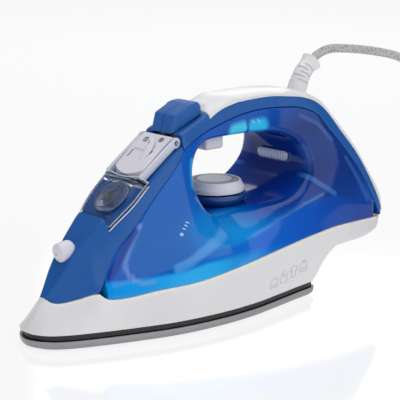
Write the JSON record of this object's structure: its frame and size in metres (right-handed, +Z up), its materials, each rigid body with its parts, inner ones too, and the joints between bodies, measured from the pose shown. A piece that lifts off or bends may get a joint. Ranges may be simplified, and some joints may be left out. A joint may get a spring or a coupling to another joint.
{
  "type": "clothes iron",
  "caption": "Steam iron with a translucent water tank, clear fill door, two pump buttons, a steam slider, a thermostat dial under the handle and a braided mains cord.",
  "frame": {"origin": "on the surface the iron stands on, under the centre of the iron's bounding box without the cord", "axes": "+X from the nose to the heel, +Z up, +Y to the far side as seen from the front left; the soleplate lies on Z = 0"},
  "size_m": [0.4119, 0.1868, 0.1716],
  "materials": {
    "white": "satin moulded white plastic",
    "lilac": "fine-grained lilac-white plastic",
    "blue": "satin royal-blue plastic",
    "button_blue": "satin mid-blue plastic",
    "tank_blue": "glossy translucent blue tank plastic",
    "clear": "clear polished plastic",
    "black": "matt black heat-resistant plastic",
    "steel": "satin steel",
    "aluminium": "die-cast aluminium",
    "brass": "turned brass",
    "rubber": "soft grey rubber",
    "braid": "braided white textile with dark flecks",
    "wire": "wire insulation"
  },
  "bodies": {
    "iron": {"soleplate": "steel", "heater_casting": "aluminium", "heating_element": "steel", "steam_chamber_cover": "steel", "heat_shield": "black", "base_skirt": "white", "heel_cover": "white", "water_tank": "tank_blue", "nose_shell": "blue", "handle_band": "blue", "handle_insert": "white", "rear_cover": "white", "door_pin_near": "steel", "door_pin_far": "steel", "slider_plate": "lilac", "steam_valve_seat": "brass", "filler_funnel": "clear", "spray_nozzle": "lilac", "nozzle_bush": "rubber", "spray_pump": "lilac", "spray_spring": "steel", "steam_boost_pump": "lilac", "steam_boost_spring": "steel", "dial_collar": "tank_blue", "thermostat": "aluminium", "thermal_fuse": "lilac", "pilot_lens": "clear", "pilot_lamp": "brass", "handle_catch": "lilac", "cord_boot": "white", "cord_clamp": "lilac", "cord_clamp_anvil": "lilac", "cord_run": "braid", "cord_tail": "braid", "cord_coil": "braid", "plug_body": "white", "plug_pin_near": "steel", "plug_pin_far": "steel", "terminal_block": "lilac", "live_lead": "wire", "neutral_lead": "wire", "earth_lead": "wire", "spray_hose": "rubber", "heel_screw_near": "steel", "heel_screw_far": "steel", "base_screw_front": "steel", "base_screw_near": "steel", "base_screw_far": "steel", "rear_screw": "steel"},
    "dial": {"temperature_dial": "lilac", "dial_disc": "rubber", "thermostat_shaft": "brass"},
    "door": {"filler_door": "clear"},
    "slider": {"steam_slider": "lilac"},
    "valve": {"steam_valve_rod": "steel"},
    "spray": {"spray_button": "button_blue", "spray_plunger": "lilac"},
    "steam_boost": {"steam_boost_button": "button_blue", "steam_boost_plunger": "lilac"}
  },
  "joints": [
    {"name": "dial_turn", "type": "hinge", "parent": "iron", "child": "dial", "pos_m": [0.02, 0, 0.08], "axis": [0, 0, 1], "range_deg": [-135, 135]},
    {"name": "door_hinge", "type": "hinge", "parent": "iron", "child": "door", "pos_m": [-0.0315, 0, 0.1218], "axis": [0, 1, 0], "range_deg": [0, 75]},
    {"name": "slider_slide", "type": "slide", "parent": "iron", "child": "slider", "axis": [0, 1, 0], "range_m": [0, 0.011]},
    {"name": "valve_lift", "type": "slide", "parent": "iron", "child": "valve", "axis": [0, 0, 1], "range_m": [-0.0024, 0]},
    {"name": "spray_press", "type": "slide", "parent": "iron", "child": "spray", "axis": [0, 0, -1], "range_m": [0, 0.0035], "stiffness_N_per_m": 1500, "springref_m": -0.0015, "deforming": ["spray_spring"]},
    {"name": "steam_boost_press", "type": "slide", "parent": "iron", "child": "steam_boost", "axis": [0, 0, -1], "range_m": [0, 0.0035], "stiffness_N_per_m": 1500, "springref_m": -0.0015, "deforming": ["steam_boost_spring"]}
  ],
  "couplings": [
    {"joint": "valve_lift", "follows": "slider_slide", "ratio": -0.2}
  ]
}
